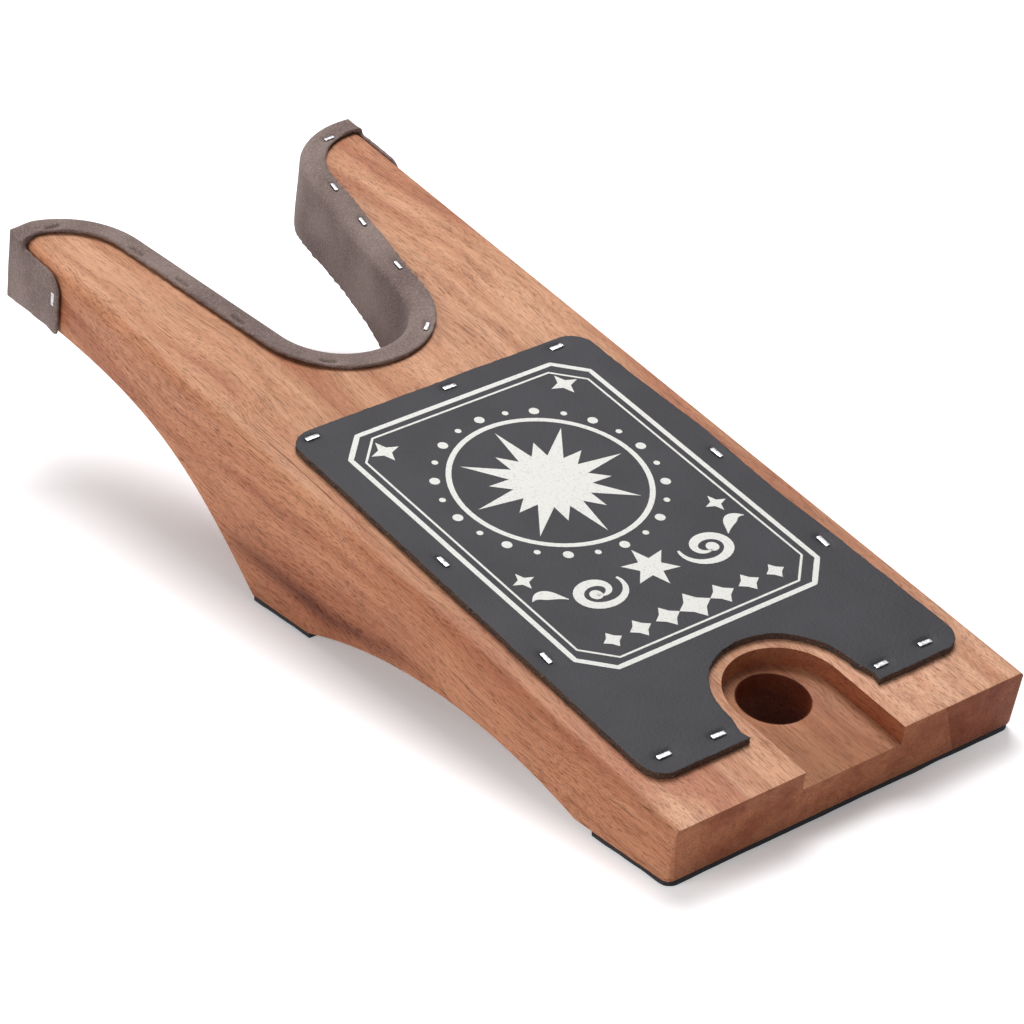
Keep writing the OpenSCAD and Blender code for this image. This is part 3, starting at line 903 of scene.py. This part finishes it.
@dataclass
class WoodBlock:
    """The forked block with its arch, foot, recess and hanging hole."""

    tip_thickness: float = 23.0
    underside: float = 2.0
    arch_radius: float = 180.0
    arch_middle: float = 97.4
    arch_height: float = 11.6
    arch_steps: int = 26
    foot_rear: float = 181.5
    heel_angle: float = 44.0
    heel_pull: float = 43.0
    tip_angle: float = 3.5
    tip_pull: float = 73.0
    curve_steps: int = 30
    left_round: float = 5.0
    right_round: float = 2.0
    front_round: float = 1.6
    # the left round-over's front vertices lie this far back and this close to its arc
    front_reach: float = 60.0
    arc_play: float = 1.2
    touch: float = 0.05
    chamfer: float = 2.0
    recess_radius: float = 17.1
    recess_centre: float = 27.0
    recess_depth: float = 5.9
    hole_radius: float = 10.1
    hole_centre: float = 31.0
    # cutters reach this far over the top and under it
    over: float = 6.0
    deep: float = 60.0

    def heel_curve(self) -> list[Point]:
        """Underside from the prong ends to the foot, a curve with a handle at each end."""
        rise, run = math.sin(TOP.slope), math.cos(TOP.slope)
        length, thick = SIZES.top_length, self.tip_thickness
        tip = Vector((length * run + thick * rise, TOP.front_z + length * rise - thick * run))
        heel = Vector((self.foot_rear, self.underside))
        a, b = math.radians(self.heel_angle), math.radians(self.tip_angle)
        heel_handle = heel + self.heel_pull * Vector((math.cos(a), math.sin(a)))
        tip_handle = tip - self.tip_pull * Vector((math.cos(b), math.sin(b)))
        points = []
        for i in range(self.curve_steps + 1):
            t = 1 - i / self.curve_steps
            p = (1 - t) ** 3 * heel + 3 * t * (1 - t) ** 2 * heel_handle
            p += 3 * t * t * (1 - t) * tip_handle + t**3 * tip
            points.append((p.x, p.y))
        return points

    def profile(self) -> list[Point]:
        """Side outline in (y, z) from the front top edge and the floor."""
        rise, run = math.sin(TOP.slope), math.cos(TOP.slope)
        front = TOP.front_z
        points = [(0.0, front), (SIZES.top_length * run, front + SIZES.top_length * rise)]
        points += self.heel_curve()
        low = self.arch_height - self.arch_radius
        half = math.sqrt(self.arch_radius**2 - (self.underside - low) ** 2)
        for i in range(self.arch_steps + 1):
            y = self.arch_middle + half * (1 - 2 * i / self.arch_steps)
            points.append((y, low + math.sqrt(self.arch_radius**2 - (y - self.arch_middle) ** 2)))
        points.append(((front - self.underside) * rise / run, self.underside))
        return points

    def blank(self) -> bmesh.types.BMesh:
        """The block before its fork, recess and hole are cut, with its long edges eased."""
        half = SIZES.half_width
        outline = [Vector((-half, TOP.front_y + y, z)) * MM for y, z in self.profile()]
        bm = extruded(outline, Vector((2 * half * MM, 0.0, 0.0)))
        inverse = TOP.matrix.inverted()

        def at(a: Vector, b: Vector, axis: int, value: float = 0.0) -> bool:
            """Whether both ends of an edge lie at a value of a top-frame axis."""
            return max(abs(a[axis] - value), abs(b[axis] - value)) < 0.1

        eased = (
            (lambda a, b: at(a, b, 0, -half) and at(a, b, 2), self.left_round, 8),
            (lambda a, b: at(a, b, 0, half) and at(a, b, 2), self.right_round, 4),
            (lambda a, b: at(a, b, 1) and abs(a.x - b.x) < 0.1 and abs(a.z - b.z) > 5, self.chamfer, 2),
            (lambda a, b: at(a, b, 1) and at(a, b, 2) and abs(a.x - b.x) > 50, self.chamfer * 0.8, 3),
        )
        for test, size, segments in eased:
            edges = [e for e in bm.edges if test(*((inverse @ v.co) / MM for v in e.verts))]
            bevel(bm, edges, size * MM, segments, False)
        self.taper_round(bm)
        return bm

    def taper_round(self, bm: bmesh.types.BMesh) -> None:
        """Draws the left round-over in towards the front, where it was sanded less."""
        matrix, inverse = TOP.matrix, TOP.matrix.inverted()
        half, big, small = SIZES.half_width, self.left_round, self.front_round
        for vertex in bm.verts:
            p = (inverse @ vertex.co) / MM
            across, down = p.x + half - big, p.z + big
            on_corner = across <= self.touch and down >= -self.touch and p.y <= self.front_reach
            if on_corner and abs(math.hypot(across, down) - big) <= self.arc_play:
                # the same place on a smaller arc in the same corner
                k = small / big
                new = Vector((-half + small + across * k, p.y, -small + down * k))
                vertex.co = matrix @ (new * MM)

    def bore(self) -> bmesh.types.BMesh:
        """Round cutter of the hanging hole, square to the top."""
        bm = bmesh.new()
        radius = self.hole_radius * MM
        bmesh.ops.create_cone(
            bm, cap_ends=True, segments=72, radius1=radius, radius2=radius, depth=self.deep * MM
        )
        bmesh.ops.translate(bm, verts=bm.verts, vec=Vector((0.0, self.hole_centre, -self.deep / 2)) * MM)
        bm.transform(TOP.matrix)
        return bm

    def build(self, wood: bpy.types.Material) -> None:
        """Makes the block."""
        obj = new_object("hardwood_block", self.blank())
        cut(obj, top_prism(ForkShape().outline(self.over), -self.deep, self.over))
        r = self.recess_radius
        recess = [(r, -self.over)] + arc(0.0, self.recess_centre, r, 0.0, math.pi, 36) + [(-r, -self.over)]
        cut(obj, top_prism(recess, -self.recess_depth, self.over))
        cut(obj, self.bore())
        soften(obj, 0.45, 2)
        shade(obj, 30)
        place_piece(obj, "wood", [wood], "wood_block")


# ----------------------------------------------------------------------- leather plate


@dataclass
class LeatherPlate:
    """The tread plate with its arch, wavy cut edge and pressed-in staples."""

    corner: float = 7.0
    arch_radius: float = 21.3
    arch_centre: float = 26.0
    arch_foot: float = 22.3
    cell: float = 0.9
    # the edge is cut into layers at these heights, so that its fibres can stand out
    levels: tuple[float, ...] = (0.5, 0.85, 1.2, 1.55)
    fibre: float = 0.42
    dent: Dent = Dent((0.6, 2.9, 1.25), (0.25, 5.0, 3.2))
    layout: StapleLayout = field(default_factory=StapleLayout)

    def __post_init__(self) -> None:
        """Collects the staples that press the plate."""
        self.places = [p for row, places in self.layout.rows().items() if row.in_plate for p in places]

    def outline(self) -> list[Point]:
        """Cut outline, counter-clockwise, with the hand-cut waver of the real edge."""
        front, rear = SIZES.plate_front, SIZES.plate_rear
        wide, narrow = SIZES.plate_half_front, SIZES.plate_half_rear
        points: list[Point] = []
        for x, y, start in ((wide, front, -90), (narrow, rear, 0), (-narrow, rear, 90), (-wide, front, 180)):
            cx = x - math.copysign(self.corner, x)
            cy = y + self.corner if y == front else y - self.corner
            points += [around(cx, cy, self.corner, math.radians(start + 90 * i / 8)) for i in range(9)]
        foot = math.asin((self.arch_centre - front) / self.arch_radius)
        widening = self.arch_foot / (self.arch_radius * math.cos(foot)) - 1
        for i in range(31):
            x, y = around(0.0, self.arch_centre, self.arch_radius, math.pi + foot - (math.pi + 2 * foot) * i / 30)
            points.append((x * (1 + widening * smoothstep(self.arch_centre, front, y)), y))
        return self.waver(points)

    def waver(self, points: Sequence[Point]) -> list[Point]:
        """Cuts an outline into short steps and moves each a little."""
        moved = []
        for a, b in zip(points, list(points[1:]) + [points[0]]):
            for x, y in divided(a, b, 1.3):
                dx = 0.2 * wobble(x, y, 9, 1.7) + 0.12 * wobble(x, y, 2.6, 5.1)
                dy = 0.2 * wobble(x, y, 9, 8.3) + 0.12 * wobble(x, y, 2.6, 2.9)
                if x > 40:
                    # one shallow bulge and one hollow in the right edge
                    dx += 0.9 * math.exp(-(((y - 124) / 13) ** 2)) - 0.5 * math.exp(-(((y - 92) / 14) ** 2))
                moved.append((x + dx, y + dy))
        return moved

    def lift(self, x: float, y: float) -> float:
        """Height of the face over its flat place: dents at staples, waves between them."""
        dent = sum(place.pressed(x, y, self.dent) for place in self.places)
        edge = max(abs(x) - 44, 0) / 9 + max(y - 168, 0) / 10
        return 0.16 * min(edge, 1) * wobble(x, y, 17, 3.3) + 0.05 * wobble(x, y, 30, 9.1) - dent

    def move(self, p: Vector) -> Vector:
        """New place of a vertex: the face is lifted, the edge frays, the underside stays on the wood."""
        share = smoothstep(0.2, SIZES.plate_thickness, p.z)
        fray = self.fibre * (1 - 0.6 * abs(2 * p.z / SIZES.plate_thickness - 1) ** 3)
        dx = fray * wobble(p.x + 5 * p.z, p.y, 1.2, 4.4)
        dy = fray * wobble(p.x, p.y + 5 * p.z, 1.2, 7.9)
        return Vector((p.x + dx, p.y + dy, p.z + share * self.lift(p.x, p.y)))

    def blank(self) -> bmesh.types.BMesh:
        """Sheet of small cells, a little larger than the plate."""
        bm = bmesh.new()
        across, along = 2 * SIZES.plate_half_front + 6, SIZES.plate_length + 6
        columns, rows = round(across / self.cell), round(along / self.cell)
        bmesh.ops.create_grid(bm, x_segments=columns, y_segments=rows, size=0.5)
        bmesh.ops.scale(bm, vec=(across * MM, along * MM, 1), verts=bm.verts)
        middle = SIZES.plate_front + SIZES.plate_length / 2
        bmesh.ops.translate(bm, vec=Vector((0, middle, 0)) * MM, verts=bm.verts)
        pull(bm, bm.faces[:], (0, 0, SIZES.plate_thickness * MM))
        bmesh.ops.recalc_face_normals(bm, faces=bm.faces)
        bm.transform(TOP.matrix)
        return bm

    def layer(self, obj: bpy.types.Object) -> None:
        """Cuts the edge into its layers."""
        bm = bmesh.new()
        bm.from_mesh(obj.data)
        for level in self.levels:
            slit(bm, TOP.matrix @ Vector((0, 0, level * MM)), TOP.up)
        bm.to_mesh(obj.data)
        bm.free()

    def build(self, face: bpy.types.Material, edge: bpy.types.Material) -> None:
        """Makes the plate."""
        obj = new_object("tread_plate", self.blank())
        cut(obj, top_prism(self.outline(), -2.0, 5.0), "INTERSECT")
        soften(obj, 0.2, 2, 50)
        self.layer(obj)
        shift_vertices(obj, self.move)
        shade(obj, 50)
        place_piece(obj, "leather", [face, edge], "leather_plate")
        up = TOP.up
        for polygon in obj.data.polygons:
            polygon.material_index = 0 if polygon.normal.dot(up) > 0.5 else 1


# ---------------------------------------------------------------------------- ornament


@dataclass
class Ornament:
    """Generic printed ornament of the plate: framed star, scrolls, diamonds and rules."""

    plate: LeatherPlate
    film: float = 0.05
    grid: float = 2.0
    notch: float = 8.0
    shapes: list[list[Point]] = field(default_factory=list)

    def band(self, path: Sequence[Point], widths: Sequence[float], closed: bool = False) -> None:
        """Adds a stroke along a path.

        Args:
            path: Points of the stroke's middle.
            widths: Width at each point.
            closed: Whether the stroke runs back to its start.
        """
        left, right = [], []
        count = len(path)
        for i, (x, y) in enumerate(path):
            ax, ay = path[i - 1] if closed else path[max(i - 1, 0)]
            bx, by = path[(i + 1) % count] if closed else path[min(i + 1, count - 1)]
            length = math.hypot(bx - ax, by - ay) or 1.0
            nx, ny = -(by - ay) / length, (bx - ax) / length
            half = widths[i] / 2
            left.append((x + nx * half, y + ny * half))
            right.append((x - nx * half, y - ny * half))
        for i in range(count if closed else count - 1):
            j = (i + 1) % count
            self.shapes.append([left[i], right[i], right[j], left[j]])

    def frame(self, inset: float, width: float) -> None:
        """Adds a closed rule with notched corners."""
        a, b, c, d, notch = -42.0 + inset, 42.0 - inset, 55.0 + inset, 169.0 - inset, self.notch
        corners = [
            (a + notch, c), (b - notch, c), (b, c + notch), (b, d - notch),
            (b - notch, d), (a + notch, d), (a, d - notch), (a, c + notch),
        ]
        path: list[Point] = []
        for p, q in zip(corners, corners[1:] + corners[:1]):
            path += divided(p, q, self.grid, 2)
        self.band(path, [width] * len(path), closed=True)

    def star(self, cx: float, cy: float, outer: float, inner: float, points: int, second: float = 0.0) -> None:
        """Adds a star, as kites about its middle; every other point may have a second length."""
        step = math.pi / points
        for i in range(points):
            a = math.radians(90) + 2 * math.pi * i / points
            tip = around(cx, cy, second if second and i % 2 else outer, a)
            self.shapes.append([(cx, cy), around(cx, cy, inner, a - step), tip, around(cx, cy, inner, a + step)])

    def disc(self, cx: float, cy: float, radius: float) -> None:
        """Adds a dot."""
        self.shapes.append([around(cx, cy, radius, math.pi * i / 8) for i in range(16)])

    def ring(self, cx: float, cy: float, radius: float, width: float) -> None:
        """Adds a circle line."""
        path = [around(cx, cy, radius, 2 * math.pi * i / 72) for i in range(72)]
        self.band(path, [width] * len(path), closed=True)

    def scroll(self, x: float, y: float, size: float, side: int) -> None:
        """Adds a spiral scroll with a leaf; side mirrors it."""
        path, widths = [], []
        steps = 44
        for i in range(steps + 1):
            t = i / steps
            a = math.radians(-200 + 520 * t)
            radius = size * (1 - 0.82 * t)
            path.append((x + side * (radius * math.cos(a) * 1.25), y + radius * math.sin(a)))
            widths.append(0.8 + 2.2 * math.sin(math.pi * min(t * 1.15, 1)) ** 0.8)
        self.band(path, widths)
        self.disc(*path[-1], 1.9)
        leaf, widths = [], []
        for i in range(17):
            t = i / 16
            leaf.append((x + side * (size * 1.25 + 9 * t), y + (size * 0.2 + 5.0 * math.sin(t * 2.2))))
            widths.append(0.3 + 3.4 * math.sin(math.pi * t) ** 1.4)
        self.band(leaf, widths)

    def draw(self) -> None:
        """Lays the ornament out."""
        self.frame(0.0, 1.6)
        self.frame(3.0, 0.7)
        middle, row = 126.0, 64.5
        self.star(0, middle, 25, 11.5, 16, second=17.5)
        self.ring(0, middle, 28.0, 1.6)
        for i in range(24):
            self.disc(*around(0, middle, 32.0, 2 * math.pi * i / 24), 0.95 if i % 2 else 1.5)
        for side in (-1, 1):
            self.star(side * 31.5, 159.5, 4.6, 1.9, 4)
            self.scroll(side * 19, 82, 7.0, side)
            self.star(side * 33.5, 95.5, 3.6, 1.5, 4)
            for k in range(1, 4):
                self.star(side * 9.4 * k, row, 4.6 - 0.5 * k, 2.7 - 0.3 * k, 4)
        self.star(0, row, 5.4, 3.1, 4)
        self.star(0, 83, 8.2, 3.6, 6)

    def build(self, ink: bpy.types.Material) -> None:
        """Makes the print as a thin film on the plate's face."""
        self.draw()
        bm = bmesh.new()
        for shape in self.shapes:
            area = sum(a[0] * b[1] - b[0] * a[1] for a, b in zip(shape, shape[1:] + shape[:1]))
            ordered = shape if area > 0 else shape[::-1]
            bm.faces.new([bm.verts.new(Vector((x, y, 0)) * MM) for x, y in ordered])
        bmesh.ops.remove_doubles(bm, verts=bm.verts, dist=WELD)
        long_edges = [e for e in bm.edges if e.calc_length() > 1.5 * self.grid * MM]
        bmesh.ops.subdivide_edges(bm, edges=long_edges, cuts=3, use_grid_fill=True)
        bmesh.ops.triangulate(bm, faces=[f for f in bm.faces if len(f.verts) > 4])
        bm.transform(TOP.matrix)
        obj = new_object("plate_print", bm)
        height = SIZES.plate_thickness + self.film
        shift_vertices(obj, lambda p: Vector((p.x, p.y, height + self.plate.lift(p.x, p.y))))
        place_piece(obj, "leather", [ink])


# ------------------------------------------------------------------------ suede liner


@dataclass
class SuedeLiner:
    """The suede strip: soft crest, pressed staples, lifted free edges, ragged hem.

    Attributes:
        voxel: Size of the strip's cells.
        crest: Radius of the edge between the fold and the wall.
        side_crest: Radius of the edges between the wall and the flaps.
        flap_crest: Radius of the edges between the fold and the flaps.
        hem: How far the lower edge hangs down.
        flap_rise: How much higher the right flap's upper edge is.
        thinning: How much thinner the fold is where it turns down into the left flap.
    """

    voxel: float = 0.7
    crest: float = 3.0
    side_crest: float = 2.6
    flap_crest: float = 2.4
    hem: float = 1.3
    flap_rise: float = 1.4
    thinning: float = 1.1
    left_dent: Dent = Dent((0.6, 2.7, 0.75), (0.35, 4.6, 3.0))
    right_dent: Dent = Dent((0.5, 2.7, 1.05), (0.35, 4.6, 3.0))
    layout: StapleLayout = field(default_factory=StapleLayout)

    def __post_init__(self) -> None:
        """Works out the shapes that the surface follows."""
        wood = ForkShape()
        self.surface = wood.grown(-SIZES.liner_thickness)
        self.fold_line = wood.grown(SIZES.fold_width)
        rows = self.layout.rows()
        self.places = rows[StapleRow.LINER_LEFT] + rows[StapleRow.LINER_RIGHT]

    def dent(self, x: float, y: float) -> float:
        """How far staples press the fold down at a point."""
        middle = self.surface.centre[0]
        return sum(p.pressed(x, y, self.left_dent if p.x < middle else self.right_dent) for p in self.places)

    def outward(self, x: float, y: float) -> Point:
        """Direction out of the fork's wall, into the open fork."""
        step = 0.2
        dx = self.surface.depth(x + step, y) - self.surface.depth(x - step, y)
        dy = self.surface.depth(x, y + step) - self.surface.depth(x, y - step)
        length = math.hypot(dx, dy) or 1.0
        return (-dx / length, -dy / length)

    def rounded(self, p: Vector) -> Vector:
        """A vertex after the strip's outer edges are rounded off in pairs."""
        thick = SIZES.liner_thickness
        pairs = (("wall", "top", self.crest), ("side", "wall", self.side_crest), ("side", "top", self.flap_crest))
        for first, second, r in pairs:
            x, y, z = p
            # depth under each outer face, and the direction out of it
            faces = {
                "wall": (self.surface.depth(x, y), Vector((*self.outward(x, y), 0.0))),
                "top": (thick - z, Vector((0.0, 0.0, 1.0))),
                "side": (SIZES.half_width + thick - abs(x), Vector((math.copysign(1.0, x), 0.0, 0.0))),
            }
            a, b = r - faces[first][0], r - faces[second][0]
            reach = math.hypot(a, b)
            if a > 0 and b > 0 and reach > r:
                inward = 1 - r / reach
                p = p - faces[first][1] * (a * inward) - faces[second][1] * (b * inward)
        return p

    def flap_shift(self, p: Vector, y: float, z: float) -> Point:
        """Outward and upward shift of a flap: it stands off at its free edges and is pressed at its staple."""
        side = 1 if p.x > 0 else -1
        free = smoothstep(SIZES.flap_front + 6.5, SIZES.flap_front, y)
        top = smoothstep(-6.0, -2.0, z) * smoothstep(297.0, 290.0, y)
        out = (0.95 * free + 0.4 * top) * (0.8 + 0.35 * wobble(y, z, 9, 2.2)) + 0.18 * wobble(y, z, 8, 7.7)
        rise = 0.0
        if side > 0 and p.z < -1.0:
            rise = self.flap_rise * smoothstep(-10.0, -2.5, z) * smoothstep(302.5, 299.0, y)
        along = y - (SIZES.flap_front + SIZES.flap_staple_in)
        above = z + rise + SIZES.flap_staple_drop
        out -= 0.55 * math.exp(-((along / 1.4) ** 2) - (abs(above) / 3.2) ** 4)
        return (side * out, rise)

    def move(self, p: Vector) -> Vector:
        """New place of a vertex of the strip."""
        x, y, z = self.rounded(p)
        if p.z > 0.1:
            z -= self.dent(x, y) * smoothstep(0.1, 1.2, p.z)
        if p.z > -0.1 and y < 300:
            # the cut edge stands a little off the wood between staples
            edge = self.fold_line.depth(x, y)
            if -2.6 < edge < 1.5:
                z += max(0.0, wobble(x, y, 22, 6.2) + 0.5) * 0.7 * smoothstep(-2.6, 0.0, edge)
        left_end = smoothstep(53.0, 61.0, -x) * smoothstep(288.0, 296.0, y)
        z -= self.thinning * left_end * smoothstep(-1.5, 1.2, p.z)
        if abs(p.x) > SIZES.half_width - 0.05 and p.z < 1.0:
            out, rise = self.flap_shift(p, y, z)
            x, z = x + out, z + rise
        elif p.z < 0:
            bulge = 0.3 * wobble(x + y, z, 24, 1.1)
            normal = self.outward(x, y)
            x, y = x + normal[0] * bulge, y + normal[1] * bulge
        return Vector((x, y, z))

    def refine(self, obj: bpy.types.Object) -> None:
        """Halves the faces of the fold near each staple."""
        inverse = TOP.matrix.inverted()
        bm = bmesh.new()
        bm.from_mesh(obj.data)
        near = set()
        for face in bm.faces:
            c = (inverse @ face.calc_center_median()) / MM
            spots = (place.local(c.x, c.y) for place in self.places)
            if c.z > 0.6 and any(abs(u) < 4 and abs(v) < 2.5 for u, v in spots):
                near.update(face.edges)
        bmesh.ops.subdivide_edges(bm, edges=list(near), cuts=1, use_grid_fill=True)
        bmesh.ops.triangulate(bm, faces=[f for f in bm.faces if len(f.verts) > 4])
        bm.to_mesh(obj.data)
        bm.free()

    def hang(self, obj: bpy.types.Object) -> None:
        """Lets the lower hem hang a little, unevenly, where it is inside the fork."""
        floor = sorted((TOP.front_y + y, z) for y, z in WoodBlock().profile()[1:32])

        def under(y: float) -> float:
            """Height of the underside over the floor at a place in the row frame."""
            for (ya, za), (yb, zb) in zip(floor, floor[1:]):
                if ya <= y <= yb:
                    return za + (zb - za) * (y - ya) / max(yb - ya, 1e-6)
            return floor[-1][1] if y > floor[-1][0] else floor[0][1]

        for vertex in obj.data.vertices:
            x, y, z = vertex.co / MM
            above = z - under(min(y, 145.0))
            if above < 4 and abs(x) < 59.6:
                ragged = self.hem * (0.75 + 0.45 * wobble(x, y, 9, 3.9) + 0.12 * wobble(x, y, 2.6, 8.8))
                vertex.co.z -= ragged * smoothstep(4.0, 0.0, above) * MM
        obj.data.update()

    def build(self, source: bpy.types.Object, suede: bpy.types.Material) -> None:
        """Makes the strip from a copy of its solid."""
        obj = new_object("suede_strip", welded_copy(source))
        remesh = obj.modifiers.new("remesh", "REMESH")
        remesh.mode = "VOXEL"
        remesh.voxel_size = self.voxel * MM
        relax = obj.modifiers.new("relax", "SMOOTH")
        relax.factor = 0.5
        relax.iterations = 4
        settle(obj)
        self.refine(obj)
        shift_vertices(obj, self.move)
        self.hang(obj)
        obj.data.shade_smooth()
        place_piece(obj, "suede", [suede], "suede_liner")


# -------------------------------------------------------------------------------- pads


@dataclass
class RubberPads:
    """The two glued rubber pads, with knife-cut edges."""

    waver: float = 0.3
    # the cut sheet reaches almost to the sides of the block
    spread: float = 0.8
    long_edge: float = 20.0
    edge_cuts: int = 24

    def build(self, nodes: dict[str, bpy.types.Object], rubber: bpy.types.Material) -> None:
        """Makes both pads from copies of their solids."""
        for name in ("front_pad", "heel_pad"):
            bm = welded_copy(nodes[name])
            bmesh.ops.dissolve_limit(
                bm, angle_limit=math.radians(1), verts=bm.verts, edges=bm.edges, use_dissolve_boundaries=False
            )
            long_edges = [e for e in bm.edges if e.calc_length() > self.long_edge * MM]
            bmesh.ops.subdivide_edges(bm, edges=long_edges, cuts=self.edge_cuts)
            obj = new_object(name + "_rubber", bm)
            soften(obj, 0.3, 2)
            for vertex in obj.data.vertices:
                x, y, _ = vertex.co / MM
                outward = math.copysign(self.spread * smoothstep(40, 50, abs(x)), x)
                vertex.co.x += (outward + self.waver * wobble(x, y, 8, 2.1)) * MM
                vertex.co.y += self.waver * wobble(x, y, 8, 5.6) * MM
            shade(obj, 40)
            place_piece(obj, "rubber", [rubber], name)


# ------------------------------------------------------------------------------ studio


@dataclass
class Studio:
    """Camera, floor and soft lamps, in metres and watts.

    Attributes:
        shine: Strength of the surround's light; it is white only where it is seen.
        aim: Point that the lamps face.
    """

    azimuth: float = -38.46
    elevation: float = 29.86
    lens: float = 141.5
    sensor: float = 36.0
    camera_place: Place = (-0.60197, -0.76893, 0.5811)
    floor_reach: float = 6.0
    shine: float = 0.16
    aim: Place = (0.0, 0.0, 0.03)

    def camera(self) -> None:
        """Makes the camera of the photograph's view."""
        data = bpy.data.cameras.new("camera")
        data.sensor_width = self.sensor
        data.lens = self.lens
        data.clip_start, data.clip_end = 0.02, 50.0
        obj = link_new("camera", data)
        obj.location = self.camera_place
        obj.rotation_euler = (math.radians(90 - self.elevation), 0.0, math.radians(self.azimuth))
        bpy.context.scene.camera = obj

    def floor(self) -> None:
        """Makes the seamless floor."""
        bm = bmesh.new()
        bmesh.ops.create_grid(bm, x_segments=1, y_segments=1, size=self.floor_reach)
        obj = new_object("studio_floor", bm)
        obj.data.materials.append(StudioFloor().make())

    def lamp(self, name: str, place: Place, size: float, power: float) -> None:
        """Adds one square soft box."""
        data = bpy.data.lights.new(name, "AREA")
        data.shape = "SQUARE"
        data.size = size
        data.energy = power
        obj = link_new(name, data)
        obj.location = place
        obj.rotation_euler = (Vector(self.aim) - Vector(place)).to_track_quat("-Z", "Y").to_euler()

    def world(self) -> None:
        """Makes a pale surround, white where it is seen."""
        world = bpy.data.worlds.new("surround")
        bpy.context.scene.world = world
        r = Recipe(world)
        camera, through, glossy = (
            r.add("LightPath", out=ray) for ray in ("Is Camera Ray", "Is Transmission Ray", "Is Glossy Ray")
        )
        seen = r.math("MAXIMUM", r.math("MAXIMUM", camera, through), glossy)
        strength = r.between(seen, (0.0, self.shine), (1.0, 1.0))
        r.surface(r.add("Background", {"Strength": strength}), "OutputWorld")

    def build(self) -> None:
        """Sets the studio up."""
        bpy.context.scene.view_settings.view_transform = "Standard"
        self.camera()
        self.floor()
        self.world()
        self.lamp("key", (0.42, 0.5, 1.55), 1.0, 27.0)
        self.lamp("side", (-1.3, 0.0, 0.6), 0.8, 8.5)


def main() -> None:
    """Builds the boot jack round its frame."""
    logging.basicConfig(level=logging.INFO, format="%(name)s: %(message)s")
    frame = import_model()
    Studio().build()
    WoodBlock().build(OiledHardwood().make())
    plate = LeatherPlate()
    plate.build(PlateLeather().make(), CUT_EDGE.make())
    Ornament(plate).build(PRINT_INK.make())
    SuedeLiner().build(frame["nodes"]["suede_liner"], NappedSuede().make())
    RubberPads().build(frame["nodes"], RUBBER.make())
    Staples().build(WIRE.make())


if __name__ == "__main__":
    main()
